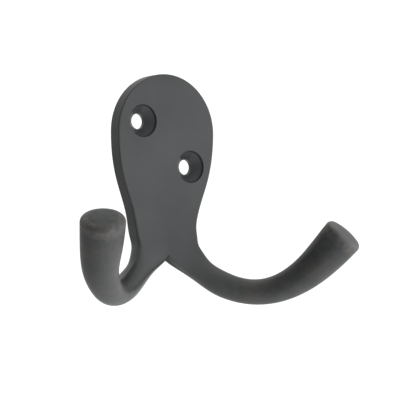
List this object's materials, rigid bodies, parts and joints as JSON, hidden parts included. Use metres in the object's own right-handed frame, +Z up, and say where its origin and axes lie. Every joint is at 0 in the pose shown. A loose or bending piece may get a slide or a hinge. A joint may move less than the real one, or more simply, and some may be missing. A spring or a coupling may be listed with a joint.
{
  "type": "double robe hook",
  "caption": "Cast double robe hook: a pear-shaped wall plate with slanted countersunk screw holes and round arms that curve out, dip and rise to swollen domed tips.",
  "frame": {"origin": "halfway between the two screw holes, on the wall face", "axes": "+X to the right as seen from the room, +Y into the wall, +Z up"},
  "size_m": [0.088, 0.0383, 0.0617],
  "materials": {
    "dark_satin_metal": "dark graphite grey coating, satin on the plate and slightly mottled on the arms"
  },
  "bodies": {
    "root": {"double_robe_hook": "dark_satin_metal"}
  },
  "joints": []
}
